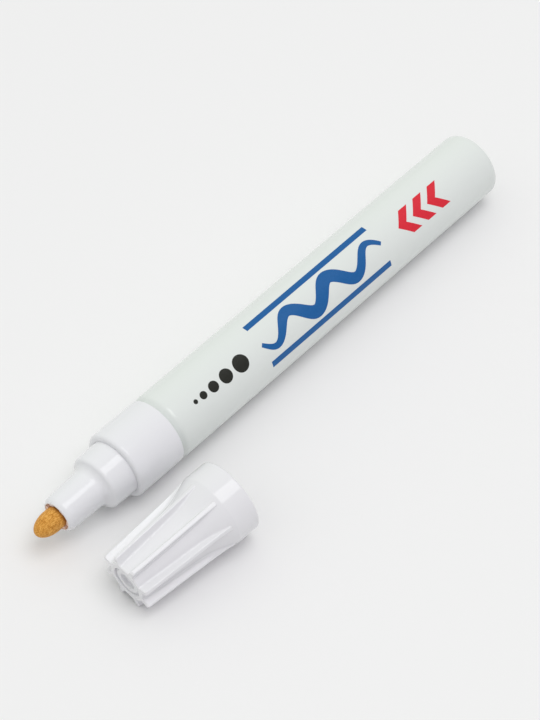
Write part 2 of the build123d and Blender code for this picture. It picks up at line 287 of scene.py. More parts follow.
def rounded(corners):
    """Points of an outline whose corners (along, radius, round) are rounded by arcs."""
    places = [Vector(corner[:2]) for corner in corners]
    points = []
    for index, (_, _, rounding) in enumerate(corners):
        if rounding:
            following = places[(index + 1) % len(places)]
            points += corner_arc(places[index - 1], places[index], following, rounding)
        else:
            points.append(places[index])
    return points


def led(points):
    """The points, with more close beside the ends of long steps, so that flat faces shade flat."""
    result = points[:1]
    for here, there in zip(points, points[1:]):
        step = there - here
        if step.length > lead_limit * lead:
            result += [here + step.normalized() * lead, there - step.normalized() * lead]
        result.append(there)
    return result


def spread(points, count):
    """Points spread evenly along a line of points."""
    reach = [0.0]
    for here, there in zip(points, points[1:]):
        reach.append(reach[-1] + (there - here).length)
    result, index = [], 0
    for step in range(count + 1):
        wanted = reach[-1] * step / count
        while index < len(points) - 2 and reach[index + 1] < wanted:
            index += 1
        part = (wanted - reach[index]) / (reach[index + 1] - reach[index])
        result.append(points[index].lerp(points[index + 1], part))
    return result


def circle(along, radius, angles):
    """A ring of points round the X axis, or one point on it."""
    if radius == 0:
        return [Vector((along, 0, 0))]
    return [Vector((along, radius * sin(angle), radius * cos(angle))) for angle in angles]


def new_object(name, data):
    """An object in the scene that shows the data."""
    made = bpy.data.objects.new(name, data)
    bpy.context.scene.collection.objects.link(made)
    return made


def skin(name, rings, joined=False, capped=False):
    """A mesh object over rings of points. A ring of one point closes the mesh there."""
    vertices = [point for ring in rings for point in ring]
    starts = [sum(len(ring) for ring in rings[:index]) for index in range(len(rings))]
    pairs = [(index, index + 1) for index in range(len(rings) - 1)]
    if joined:
        pairs.append((len(rings) - 1, 0))
    faces = []
    for here, there in pairs:
        count = max(len(rings[here]), len(rings[there]))
        for index in range(count):
            following = (index + 1) % count
            near = [starts[here] + step % len(rings[here]) for step in (index, following)]
            far = [starts[there] + step % len(rings[there]) for step in (following, index)]
            faces.append(list(dict.fromkeys(near + far)))
    if capped:
        faces.append([starts[0] + index for index in range(len(rings[0]))])
        faces.append([starts[-1] + index for index in range(len(rings[-1]))])
    mesh = bpy.data.meshes.new(name)
    mesh.from_pydata(vertices, [], faces)
    work = bmesh.new()
    work.from_mesh(mesh)
    bmesh.ops.recalc_face_normals(work, faces=work.faces)
    work.to_mesh(mesh)
    work.free()
    mesh.shade_smooth()
    mesh.set_sharp_from_angle(angle=sharp_angle)
    return new_object(name, mesh)


def lathe(name, corners, joined):
    """A turned piece from the corners of its outline."""
    points = rounded(corners)
    outline = led(points + points[:1])[:-1] if joined else led(points)
    return skin(name, [circle(*point, even_angles()) for point in outline], joined)


def rib_half_section(top, base, half_width, flare, edge, root, pitch):
    """Half of one rib and its groove, from the rib's middle to the groove's middle."""
    corner = Vector((top, half_width))
    foot = Vector((sqrt(base**2 - (half_width + flare) ** 2), half_width + flare))
    down = (foot - corner).normalized()
    aside = Vector((down.y, -down.x))
    root = min(root, root_share * (top - foot.x))
    start = corner + aside * root
    fall = -start.dot(down)
    fall -= sqrt(fall**2 - start.length_squared + (base + root) ** 2)
    centre = start + down * fall
    first, last = -aside, -centre.normalized()
    points = [Vector((top, 0))] + corner_arc(Vector((top, 0)), corner, foot, edge)
    points += [centre + first.slerp(last, part) * root for part in even_parts(root_steps)]
    turn = atan2(centre.y, centre.x)
    angles = [turn + (pitch - turn) * part for part in even_parts(root_steps)[1:]]
    return points + [base * Vector((cos(angle), sin(angle))) for angle in angles]


def rib_ring(along, count, *section):
    """A ring of evenly spaced points across ribs. It starts in the middle of a groove."""
    pitch = pi / count
    half = spread(rib_half_section(*section, pitch), rib_points)
    tooth = [Vector((point.x, -point.y)) for point in reversed(half[1:])] + half[:-1]
    ring = []
    for index in range(count):
        middle = (2 * index + 1) * pitch
        for point in tooth:
            angle = middle + atan2(point.y, point.x)
            ring.append(Vector((along, point.length * sin(angle), point.length * cos(angle))))
    return ring


def soft_min(first, second, blend):
    """The lesser of two values, rounded where they cross."""
    overlap = max(blend - abs(first - second), 0) / blend
    return min(first, second) - overlap**2 * blend * smooth_share


def straight(value, start, start_value, end, end_value):
    """Value on the line through two points."""
    return start_value + (end_value - start_value) * (value - start) / (end - start)


def cap_place():
    """Matrix of the cap: origin at its mouth's centre, X to its closed end, Z up."""
    openings = [opening["box_m"] for opening in frame["record"]["physics"]["openings"]]
    middles = [(Vector(low) + Vector(high)) / 2 for low, high in openings]
    along = (middles[-1] - middles[0]).normalized()
    shell = frame["nodes"]["cap_shell"].data.vertices
    mouth = middles[0] + along * min((vertex.co - middles[0]).dot(along) for vertex in shell)
    upward = Vector((0, 0, 1))
    upward = (upward - along * upward.dot(along)).normalized()
    return Matrix.Translation(mouth) @ Matrix((along, upward.cross(along), upward)).transposed().to_4x4()


def dress(piece, body, slot_name, material, *nodes):
    """Gives a piece its material, its body and the nodes that it stands for, which it hides. The slot
    name is not used.
    """
    piece.data.materials.append(material)
    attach(piece, body)
    if nodes:
        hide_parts(*nodes)


# Shader nodes


def feed(tree, node, values):
    """Links sockets to a node's inputs, or sets the inputs to plain values."""
    for name, value in values.items():
        if isinstance(value, bpy.types.NodeSocket):
            tree.links.new(value, node.inputs[name])
        else:
            node.inputs[name].default_value = value


def put(tree, kind, values=None, **settings):
    """Adds a node, sets it, feeds its inputs and gives its outputs."""
    made = tree.nodes.new(kind)
    for name, value in settings.items():
        setattr(made, name, value)
    feed(tree, made, values or {})
    return made.outputs


def opaque(value):
    """A colour with full alpha. A socket stays as it is."""
    return value if isinstance(value, bpy.types.NodeSocket) else (*value, 1)


def mixed(tree, factor, first, second):
    """Colour between two others."""
    mix = tree.nodes.new("ShaderNodeMix")
    mix.data_type = "RGBA"
    index = {socket.identifier: place for place, socket in enumerate(mix.inputs)}
    ends = {index["A_Color"]: opaque(first), index["B_Color"]: opaque(second)}
    feed(tree, mix, {index["Factor_Float"]: factor, **ends})
    return next(socket for socket in mix.outputs if socket.identifier == "Result_Color")


def maths(tree, operation, *values):
    """Result of a sum on values."""
    return put(tree, "ShaderNodeMath", dict(enumerate(values)), operation=operation)[0]


def ranged(tree, value, given=(0, 1), wanted=(0, 1)):
    """A value taken from the given range to the wanted one."""
    limits = zip(("From Min", "From Max", "To Min", "To Max"), (*given, *wanted))
    return put(tree, "ShaderNodeMapRange", {"Value": value, **dict(limits)})[0]


def mottle(tree, place, scale, detail, roughness=0.5):
    """Value of a cloudy noise."""
    values = {"Vector": place, "Scale": scale, "Detail": detail, "Roughness": roughness}
    return put(tree, "ShaderNodeTexNoise", values)[0]


def drawn_out(tree, place, scale, rotation):
    """Places turned and scaled, so that a noise on them is drawn out in one direction."""
    return put(tree, "ShaderNodeMapping", {"Vector": place, "Scale": scale, "Rotation": rotation})[0]


def new_group(name, inputs, outputs):
    """An empty shader node group with its sockets."""
    tree = bpy.data.node_groups.new(name, "ShaderNodeTree")
    for socket, default in inputs.items():
        made = tree.interface.new_socket(socket, in_out="INPUT", socket_type="NodeSocketFloat")
        made.default_value = default
    for socket in outputs:
        tree.interface.new_socket(socket, in_out="OUTPUT", socket_type="NodeSocketFloat")
    return tree, tree.nodes.new("NodeGroupInput").outputs, tree.nodes.new("NodeGroupOutput")


def moulded_skin():
    """Node group: faint clouding, skin texture and handling scuffs of moulded plastic."""
    name = "Moulded skin"
    if name in bpy.data.node_groups:
        return bpy.data.node_groups[name]
    scales = {"Cloud scale": 90, "Grain scale": 2600, "Scuff scale": 420}
    tree, given, result = new_group(name, scales, ("Cloud", "Grain", "Scuff"))
    place = put(tree, "ShaderNodeTexCoord")["Object"]
    streaks = drawn_out(tree, place, scale=(0.12, 1, 1), rotation=(0.3, 0.2, 0.5))
    scratches = mottle(tree, streaks, given["Scuff scale"], detail=6, roughness=0.7)
    effects = {
        "Cloud": mottle(tree, place, given["Cloud scale"], detail=4),
        "Grain": mottle(tree, place, given["Grain scale"], detail=3),
        "Scuff": ranged(tree, scratches, given=(0.6, 0.75)),
    }
    feed(tree, result, effects)
    return tree


def new_material(name):
    """A material with its node tree and shader."""
    material = bpy.data.materials.new(name)
    material.use_nodes = True
    return material, material.node_tree, material.node_tree.nodes["Principled BSDF"]


def plastic(name, tones, roughness, grain_depth, cloud_scale=90):
    """Moulded plastic: clouded colour, uneven gloss, fine skin and faint scuffs."""
    material, tree, shader = new_material(name)
    effect = put(tree, "ShaderNodeGroup", {"Cloud scale": cloud_scale}, node_tree=moulded_skin())
    even = ranged(tree, effect["Cloud"], wanted=[roughness * part for part in gloss_spread])
    grain = {"Height": effect["Grain"], "Strength": 0.15, "Distance": grain_depth}
    looks = {
        "Base Color": mixed(tree, effect["Cloud"], *tones),
        "Roughness": maths(tree, "MULTIPLY_ADD", effect["Scuff"], roughness * scuff_dulling, even),
        "Normal": put(tree, "ShaderNodeBump", grain)[0],
        "IOR": 1.49,
    }
    feed(tree, shader, looks)
    return material


def nose_plastic(colours, sizes):
    """The collar's plastic, stained by paint in the bore, with a painted glow on the stain that stands
    in for light coming through the thin wall.
    """
    tones = (colours.plastic, colours.plastic_shade)
    material = plastic("Nose plastic", tones, roughness=0.04, grain_depth=polished_grain)
    tree = material.node_tree
    shader = tree.nodes["Principled BSDF"]
    clean = shader.inputs["Base Color"].links[0].from_socket
    place = put(tree, "ShaderNodeTexCoord")["Object"]
    parts = put(tree, "ShaderNodeSeparateXYZ", {"Vector": place})
    across = put(tree, "ShaderNodeVectorMath", {0: place, 1: (0, 1, 1)}, operation="MULTIPLY")[0]
    radius = put(tree, "ShaderNodeVectorMath", {0: across}, operation="LENGTH")["Value"]
    speckle = mottle(tree, place, scale=1500, detail=4)
    ragged = maths(tree, "MULTIPLY_ADD", speckle, stain_raggedness, radius)
    bore, front = sizes.tube_bore, nose_low.x + sizes.guide_setback
    inside = ranged(tree, ragged, [bore + edge for edge in stain_edge])
    depth = ranged(tree, parts["X"], (front, front + sizes.guide_width), wanted=(0.6, 1))
    below = ranged(tree, parts["Z"], [bore * part for part in stain_height_shares])
    cover = maths(tree, "MULTIPLY", maths(tree, "MULTIPLY", inside, depth), below)
    # Painted glow: the stained bore emits its stain colour, though no lamp is there, to stand in for
    # light coming through the thin wall
    looks = {
        "Base Color": mixed(tree, cover, clean, colours.stain),
        "Emission Color": mixed(tree, cover, (0, 0, 0), colours.stain),
        "Emission Strength": 0.3,
    }
    feed(tree, shader, looks)
    return material


def nib_fibre(colours):
    """Pressed fibres steeped in ochre paint, with painted shade where they enter the nose."""
    material, tree, shader = new_material("Nib fibre")
    place = put(tree, "ShaderNodeTexCoord")["Object"]
    along = put(tree, "ShaderNodeSeparateXYZ", {"Vector": place})["X"]
    strands = drawn_out(tree, place, scale=(0.35, 1, 1), rotation=(0, 0, radians(36)))
    fibre = mottle(tree, strands, scale=5000, detail=3, roughness=0.7)
    clump = mottle(tree, place, scale=1300, detail=2)
    # Fibre tone follows the bump's height: partly the fibres' own random tone, partly painted shade in
    # the furrows and painted light on the raised fibres
    sharper = ranged(tree, fibre, given=(0.42, 0.58))
    low = mixed(tree, sharper, colours.nib_dark, colours.nib_middle)
    high = mixed(tree, sharper, colours.nib_middle, colours.nib_light)
    # Painted shade: the nib darkens towards where it enters the nose, standing in for the shadow of the
    # rim
    painted_nose_shade = ranged(tree, along, [nose_low.x + reach for reach in nose_shade_reach], wanted=(0, 0.8))
    furrows = {"Height": fibre, "Strength": 0.7, "Distance": 0.0001}
    looks = {
        "Base Color": mixed(tree, painted_nose_shade, mixed(tree, clump, low, high), colours.nib_dark),
        "Roughness": ranged(tree, fibre, wanted=(0.95, 0.75)),
        "Normal": put(tree, "ShaderNodeBump", furrows)[0],
        "Sheen Weight": 0.1,
        "Specular IOR Level": 0.2,
    }
    feed(tree, shader, looks)
    return material


def ink(name, tint):
    """Printed ink: slightly uneven cover and gloss."""
    material, tree, shader = new_material(name)
    effect = put(tree, "ShaderNodeGroup", node_tree=moulded_skin())
    thin = [min(1, channel * ink_thinning + ink_lift) for channel in tint]
    looks = {
        "Base Color": mixed(tree, effect["Grain"], tint, thin),
        "Roughness": ranged(tree, effect["Cloud"], wanted=(0.3, 0.4)),
        "Specular IOR Level": 0.25,
    }
    feed(tree, shader, looks)
    return material


def metal(name, tones, roughness):
    """Drawn or polished steel with fine marks."""
    material, tree, shader = new_material(name)
    effect = put(tree, "ShaderNodeGroup", node_tree=moulded_skin())
    looks = {
        "Base Color": mixed(tree, effect["Scuff"], *tones),
        "Roughness": ranged(tree, effect["Cloud"], wanted=(roughness * steel_gloss_share, roughness)),
        "Metallic": 1,
    }
    feed(tree, shader, looks)
    return material


# Operators, one for each piece or group of like pieces


class MARKER_OT_barrel(bpy.types.Operator):
    """Barrel with its closed tail and the shoulder at its mouth"""

    bl_idname = "marker.barrel"
    bl_label = "Barrel"

    def execute(self, context):
        sizes = context.scene.marker_body
        colours = context.scene.marker_colours
        seam, tail = barrel_low.x, barrel_high.x
        corners = [
            (tail, 0, 0),
            (tail, sizes.radius, sizes.tail_round),
            (seam + sizes.neck_length + sizes.shoulder_length, sizes.radius, sizes.shoulder_round),
            (seam + sizes.neck_length, sizes.neck_radius, 0),
            (seam, sizes.neck_radius, 0),
            (seam, sizes.bore, 0),
            (tail - sizes.tail_wall, sizes.bore, sizes.tail_round),
            (tail - sizes.tail_wall, 0, 0),
        ]
        tones = (colours.barrel, colours.barrel_shade)
        lacquer = plastic("Barrel lacquer", tones, roughness=0.1, grain_depth=0.000008, cloud_scale=60)
        dress(lathe("marker_barrel", corners, False), "marker", "barrel_white", lacquer, "barrel")
        return {"FINISHED"}


class MARKER_OT_collar(bpy.types.Operator):
    """Collar flush with the barrel, with the plug and seal groove hidden inside"""

    bl_idname = "marker.collar"
    bl_label = "Collar"

    def execute(self, context):
        sizes = context.scene.marker_body
        colours = context.scene.marker_colours
        front, rear, seam, step = collar_low.x, collar_high.x, barrel_low.x, nose_high.x
        nose_bore = nose_high.z + sizes.fit
        plug = sizes.bore - sizes.fit
        groove = seal_high.z - (seal_high.x - seal_low.x) - sizes.fit
        corners = [
            (front, nose_bore, 0),
            (front, sizes.radius, sizes.collar_round),
            (seam, sizes.radius, sizes.edge_round),
            (seam, plug, 0),
            (seal_low.x - sizes.fit, plug, 0),
            (seal_low.x - sizes.fit, groove, 0),
            (seal_high.x + sizes.fit, groove, 0),
            (seal_high.x + sizes.fit, plug, 0),
            (rear, plug, sizes.edge_round),
            (rear, sizes.plug_bore, sizes.edge_round),
            (step, sizes.plug_bore, 0),
            (step, nose_bore, 0),
        ]
        tones = (colours.plastic, colours.plastic_shade)
        white = plastic("Collar plastic", tones, roughness=0.05, grain_depth=polished_grain)
        dress(lathe("marker_collar", corners, True), "marker", "collar_white", white, "collar")
        return {"FINISHED"}


class MARKER_OT_nose(bpy.types.Operator):
    """Nose with the cap's seat, the nib tube and the guides in its bore"""

    bl_idname = "marker.nose"
    bl_label = "Nose"

    def guide(self, sizes, index):
        """One guide: a bar along the bore, sunk in its wall."""
        inner, outer = sizes.guide_radius, (sizes.tube_bore + sizes.tube_tip) / 2
        half = sizes.guide_width / 2
        edges = [(inner, -half, sizes.edge_round), (inner, half, sizes.edge_round)]
        section = rounded(edges + [(outer, half, 0), (outer, -half, 0)])
        turn = Matrix.Rotation(2 * pi * index / sizes.guide_count, 3, "X")
        front = nose_low.x + sizes.guide_setback
        rear = nose_low.x + sizes.guide_length
        rings = [[turn @ Vector((along, *point)) for point in section] for along in (front, rear)]
        return skin(f"nose_guide_{index + 1}", rings, capped=True)

    def execute(self, context):
        sizes = context.scene.marker_body
        front, rear, collar_front = nose_low.x, nose_high.x, collar_low.x
        ledge = collar_front - sizes.seat_length
        chamber_front = front + sizes.guide_length
        corners = [
            (rear, sizes.chamber, 0),
            (rear, nose_high.z, sizes.edge_round),
            (collar_front, nose_high.z, 0),
            (ledge, nose_high.z - sizes.seat_taper, sizes.seat_round),
            (ledge - sizes.ledge_run, sizes.tube_root, sizes.ledge_round),
            (front + sizes.rim_run, sizes.tube_tip, sizes.rim_round),
            (front, sizes.tube_bore + sizes.rim_land, sizes.rim_land),
            (front, sizes.tube_bore, 0),
            (chamber_front, sizes.tube_bore, 0),
            (chamber_front + sizes.chamber - sizes.tube_bore, sizes.chamber, 0),
        ]
        material = nose_plastic(context.scene.marker_colours, sizes)
        dress(lathe("marker_nose", corners, True), "marker", "nose_white", material, "nose")
        for index in range(sizes.guide_count):
            dress(self.guide(sizes, index), "marker", "nose_white", material)
        return {"FINISHED"}


class MARKER_OT_nib(bpy.types.Operator):
    """Fibre nib with a bullet point and furrowed skin"""

    bl_idname = "marker.nib"
    bl_label = "Nib"
    point_steps = 90
    stem_steps = 60
    furrow_pitch = 3000
    furrow_draw = 0.25

    def execute(self, context):
        sizes = context.scene.marker_body
        tip, rear, radius = nib_low.x, nib_high.x, nib_high.z
        point = (nose_low.x - tip) * sizes.point_share
        outline = [(tip, 0)]
        for part in even_parts(self.point_steps)[1:]:
            turn = pi / 2 * part
            outline.append((tip + point * (1 - cos(turn)), radius * sin(turn)))
        stem = rear - tip - point
        outline += [(tip + point + stem * part, radius) for part in even_parts(self.stem_steps)[1:]]
        outline.append((rear, 0))
        piece = skin("marker_nib", [circle(*place, even_angles()) for place in outline])
        draw = Matrix.Diagonal((self.furrow_draw, 1, 1))
        for vertex in piece.data.vertices:
            furrow = noise.noise(draw @ vertex.co * self.furrow_pitch)
            across = Vector((0, vertex.co.y, vertex.co.z))
            if tip + sizes.fibre_depth < vertex.co.x < rear:
                vertex.co -= across.normalized() * sizes.fibre_depth * (furrow + 1) / 2
        dress(piece, "nib_and_rod", "nib_fibre", nib_fibre(context.scene.marker_colours), "nib")
        return {"FINISHED"}


class MARKER_OT_cap(bpy.types.Operator):
    """Ribbed cap shell with a plain band at its mouth and a hole in its closed end"""

    bl_idname = "marker.cap"
    bl_label = "Cap shell"
    band_blend = 0.00005
    knee_blend = 0.0005
    end_edge = 0.00015
    station_step = 0.0006
    start_steps = 6
    fade_steps = (-4, -2, -1, 0, 1, 2, 4, 8)
    face_shares = (0.04, 0.35, 0.65, 0.96)

    def core(self, sizes, along):
        """Radius of the core between the ribs."""
        first = straight(along, sizes.band_length, sizes.band_radius, sizes.knee, sizes.knee_radius)
        second = straight(along, sizes.knee, sizes.knee_radius, sizes.cap_length, sizes.core_radius)
        taper = -soft_min(-first, -second, self.knee_blend)
        return soft_min(sizes.band_radius, taper, self.band_blend)

    def rib_top(self, sizes, along):
        """Radius of a rib's top, bent near its start and rounded off at its end."""
        end = sizes.cap_length - sizes.rib_end_round
        line = (sizes.rib_bend, sizes.rib_bend_radius, end, sizes.rib_end_radius)
        top = straight(along, *line)
        if along < sizes.rib_bend:
            ahead = (sizes.rib_bend - along) / (sizes.rib_bend - sizes.rib_start)
            top += (sizes.rib_start_radius - straight(sizes.rib_start, *line)) * ahead**2
        if along > end:
            top -= sizes.rib_end_round - sqrt(max(sizes.rib_end_round**2 - (along - end) ** 2, 0))
        return top

    def rib_half(self, sizes, along):
        """Half of a rib's width, less at its rounded start."""
        left = max(sizes.rib_corner - (along - sizes.rib_start), 0)
        return sizes.rib_half - sizes.rib_corner + sqrt(sizes.rib_corner**2 - left**2)

    def ribbed(self, sizes, along, place, inset=0.0):
        """One ring across the ribs with their form at along, drawn in by inset and put at place."""
        top, core = self.rib_top(sizes, along) - inset, self.core(sizes, along) - inset
        half = self.rib_half(sizes, along) - inset / 2
        return rib_ring(
            place, sizes.rib_count, top, core, half, sizes.rib_flare, sizes.rib_edge, sizes.rib_root
        )

    def ribs(self, sizes):
        """Rings along the ribs, from their square start to the rounded edge of the end face."""
        end = sizes.cap_length
        shoulder = end - sizes.rib_end_round
        first = sizes.rib_start + sizes.rib_corner / self.start_steps
        quarter = [pi / 2 * part for part in even_parts(self.start_steps)]
        places = [first + sizes.rib_corner * (1 - cos(turn)) for turn in quarter]
        count = ceil((shoulder - places[-1]) / self.station_step)
        places += [places[-1] + (shoulder - places[-1]) * part for part in even_parts(count)[1:]]
        last = end - self.end_edge
        places += [shoulder + (last - shoulder) * sin(turn) for turn in quarter[1:]]
        rings = [self.ribbed(sizes, along, along) for along in places]
        for turn in quarter[1:]:
            place = last + self.end_edge * sin(turn)
            rings.append(self.ribbed(sizes, last, place, self.end_edge * (1 - cos(turn))))
        return rings

    def execute(self, context):
        sizes = context.scene.marker_cap
        body = context.scene.marker_body
        colours = context.scene.marker_colours
        angles = even_angles(2 * rib_points * sizes.rib_count)
        ribs = self.ribs(sizes)
        places = [sizes.band_length + self.band_blend * step for step in self.fade_steps]
        fade = [(along, self.core(sizes, along)) for along in (*places, sizes.rib_start)]
        mouth = [
            (sizes.bore_depth, sizes.bore, 0),
            (0, sizes.bore, 2 * body.edge_round),
            (0, sizes.band_radius, sizes.mouth_round),
            (*fade[0], 0),
        ]
        outside = [circle(*point, angles) for point in led(rounded(mouth)) + fade[1:]]
        rim = list(zip(ribs[-1], circle(sizes.cap_length, sizes.end_hole + self.end_edge, angles)))
        face = [[outer.lerp(inner, part) for outer, inner in rim] for part in self.face_shares]
        inside = [
            (sizes.cap_length, sizes.end_hole + 3 * self.end_edge, 0),
            (sizes.cap_length, sizes.end_hole, self.end_edge),
            (sizes.liner_rear, sizes.end_hole, 0),
            (sizes.liner_rear, sizes.liner_end_radius + body.fit, 0),
            (sizes.liner_step, sizes.liner_radius + body.fit, 0),
            (sizes.bore_depth, sizes.liner_radius + body.fit, 0),
        ]
        hollow = [circle(*point, angles) for point in led(rounded(inside)[1:])]
        piece = skin("cap_shell_ribbed", outside + ribs + face + hollow, True)
        piece.data.transform(cap_place())
        tones = (colours.cap, colours.cap_shade)
        white = plastic("Cap plastic", tones, roughness=0.035, grain_depth=polished_grain)
        dress(piece, "cap", "cap_white", white, "cap_shell")
        return {"FINISHED"}


class MARKER_OT_liner(bpy.types.Operator):
    """Inner cap that seals on the nose, with its boss in the shell's end hole"""

    bl_idname = "marker.liner"
    bl_label = "Inner cap"

    def execute(self, context):
        sizes = context.scene.marker_cap
        edge = context.scene.marker_body.edge_round
        colours = context.scene.marker_colours
        corners = [
            (sizes.gate_rear, 0, 0),
            (sizes.gate_rear, sizes.gate_radius, edge),
            (sizes.boss_floor, sizes.gate_radius, edge),
            (sizes.boss_floor, sizes.boss_hole, edge),
            (sizes.boss_rear, sizes.boss_hole, edge),
            (sizes.boss_rear, sizes.boss_radius, edge),
            (sizes.shoulder_rear, sizes.boss_radius, edge),
            (sizes.shoulder_rear, sizes.shoulder_radius, 0),
            (sizes.liner_rear, sizes.shoulder_radius, 0),
            (sizes.liner_rear, sizes.liner_end_radius, 0),
            (sizes.liner_step, sizes.liner_radius, 0),
            (sizes.liner_start, sizes.liner_radius, edge),
            (sizes.liner_start, sizes.liner_bore, edge),
            (sizes.liner_step, sizes.liner_bore, edge),
            (sizes.liner_step, sizes.liner_nib_bore, edge),
            (sizes.liner_floor, sizes.liner_nib_bore, edge),
            (sizes.liner_floor, 0, 0),
        ]
        piece = lathe("cap_liner", corners, False)
        piece.data.transform(cap_place())
        tones = (colours.cap, colours.cap_shade)
        soft = plastic("Liner plastic", tones, roughness=0.4, grain_depth=moulded_grain)
        dress(piece, "cap", "inner_cap_white", soft, "inner_cap")
        return {"FINISHED"}


class MARKER_OT_print(bpy.types.Operator):
    """Generic print on the barrel: graded dots, a brushed wave between two bars, and chevrons"""

    bl_idname = "marker.print"
    bl_label = "Print"
    across = 8
    stations = 24
    dot_count = 5
    dot_segments = 64
    dot_ring_shares = (0, 0.5, 1)
    wave_turns = 3
    wave_steps = 96
    wave_end_share = 0.3

    # Places along X, and rows round the barrel from its top
    dots_start = -0.0925
    frame_ends = (-0.0725, -0.0355)
    chevron_tips = (-0.0285, -0.0238, -0.0191)
    middle_row = 0.0044
    frame_half = 0.0049

    def wrap(self, context, along, row, side):
        """Point on the upper (1) or lower (-1) face of the ink, from its place along X and its row."""
        radius = context.scene.marker_body.radius
        turn = row / radius
        radius += side * context.scene.marker_print.film
        return Vector((along, -radius * sin(turn), radius * cos(turn)))

    def ribbon(self, context, name, path, widths, material, across=None):
        """A film of ink along a path on the barrel, square to the path or drawn out along across."""
        rings = []
        for index, place in enumerate(path):
            step = path[min(index + 1, len(path) - 1)] - path[max(index - 1, 0)]
            normal = across or Vector((-step.y, step.x)).normalized()
            half = normal * widths[index] / 2
            row = spread([place - half, place + half], self.across)
            top = [self.wrap(context, *point, 1) for point in row]
            bottom = [self.wrap(context, *point, -1) for point in reversed(row)]
            rings.append(top + bottom)
        dress(skin(name, rings, capped=True), "marker", "barrel_white", material)

    def disc(self, context, name, along, row, radius, material):
        """A round dot of ink on the barrel."""
        rings = []
        under = [(radius * part, -1) for part in self.dot_ring_shares]
        over = [(radius * part, 1) for part in reversed(self.dot_ring_shares)]
        for reach, side in under + over:
            ring = [
                self.wrap(context, along + reach * cos(turn), row + reach * sin(turn), side)
                for turn in even_angles(self.dot_segments)
            ]
            rings.append(ring if reach else ring[:1])
        dress(skin(name, rings), "marker", "barrel_white", material)

    def dots(self, context, material):
        """Dots in a row, each larger than the one before."""
        sizes = context.scene.marker_print
        along = self.dots_start
        for index, grade in enumerate(even_parts(self.dot_count - 1)):
            radius = sizes.dot_small + (sizes.dot_large - sizes.dot_small) * grade
            name = f"print_dot_{index + 1}"
            self.disc(context, name, along + radius, self.middle_row, radius, material)
            along += 2 * radius + sizes.dot_gap

    def framed_wave(self, context, material):
        """A wave, thickest at its middle, between two plain bars."""
        sizes = context.scene.marker_print
        for index, side in enumerate((-1, 1)):
            row = self.middle_row + side * self.frame_half
            path = spread([Vector((along, row)) for along in self.frame_ends], self.stations)
            widths = [sizes.bar_width] * len(path)
            self.ribbon(context, f"print_bar_{index + 1}", path, widths, material)
        start, end = self.frame_ends
        path, widths = [], []
        for part in even_parts(self.wave_steps):
            turn = 2 * pi * self.wave_turns * part
            place = (start + (end - start) * part, self.middle_row + sizes.wave_height * sin(turn))
            path.append(Vector(place))
            swell = self.wave_end_share + (1 - self.wave_end_share) * sin(pi * part)
            widths.append(sizes.wave_width * swell)
        self.ribbon(context, "print_wave", path, widths, material)

    def chevrons(self, context, material):
        """Chevrons that point to the nib."""
        sizes = context.scene.marker_print
        reach = sizes.chevron_reach
        for index, tip in enumerate(self.chevron_tips):
            corners = [(tip + abs(side) * reach, self.middle_row + side * reach) for side in (-1, 0, 1)]
            path = spread([Vector(corner) for corner in corners], 2 * self.stations)
            widths = [sizes.chevron_width] * len(path)
            self.ribbon(context, f"print_chevron_{index + 1}", path, widths, material, Vector((1, 0)))

    def execute(self, context):
        colours = context.scene.marker_colours
        self.dots(context, ink("Black ink", colours.black))
        self.framed_wave(context, ink("Blue ink", colours.blue))
        self.chevrons(context, ink("Red ink", colours.red))
        return {"FINISHED"}


class MARKER_OT_valve(bpy.types.Operator):
    """Valve spring, and the finishes of the pieces that stay hidden inside"""

    bl_idname = "marker.valve"
    bl_label = "Valve"
    turns = 6
    turn_steps = 40
    wire_segments = 14
    wire_radius = 0.00025
    wire_tones = ((0.55, 0.55, 0.56), (0.38, 0.38, 0.39))
    ball_tones = ((0.62, 0.62, 0.63), (0.45, 0.45, 0.46))
    plastic_tones = ((0.72, 0.72, 0.70), (0.66, 0.66, 0.64))
    rubber_tones = ((0.03, 0.03, 0.03), (0.05, 0.05, 0.05))

    def coil(self, length_along):
        """Rings of the spring's wire."""
        wire, ahead = self.wire_radius, Vector((1, 0, 0))
        section = [(wire * cos(angle), wire * sin(angle)) for angle in even_angles(self.wire_segments)]
        rings = []
        for part in even_parts(self.turns * self.turn_steps):
            turn = 2 * pi * self.turns * part
            outward = Vector((0, sin(turn), cos(turn)))
            along = spring_low.x + wire + (length_along - 2 * wire) * part
            middle = outward * (spring_high.z - wire) + ahead * along
            rings.append([middle + outward * out + ahead * forward for out, forward in section])
        return rings

    def execute(self, context):
        length_along = spring_high.x - spring_low.x
        wire = metal("Spring wire", self.wire_tones, roughness=0.3)
        spring = skin("valve_coil", self.coil(length_along), capped=True)
        dress(spring, "marker", "spring_steel", wire, "valve_spring")
        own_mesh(spring)
        white = plastic("Valve plastic", self.plastic_tones, roughness=0.4, grain_depth=moulded_grain)
        rubber = plastic("Seal rubber", self.rubber_tones, roughness=0.7, grain_depth=rubber_grain)
        steel = metal("Ball steel", self.ball_tones, roughness=0.12)
        finishes = {
            white: ("valve_seat", "valve_housing", "spring_retainer", "valve_rod"),
            rubber: ("seat_packing", "barrel_seal"),
            steel: ("mixing_ball",),
        }
        for material, nodes in finishes.items():
            for node in nodes:
                slots = frame["nodes"][node].data.materials
                slots.clear()
                slots.append(material)
        return {"FINISHED"}


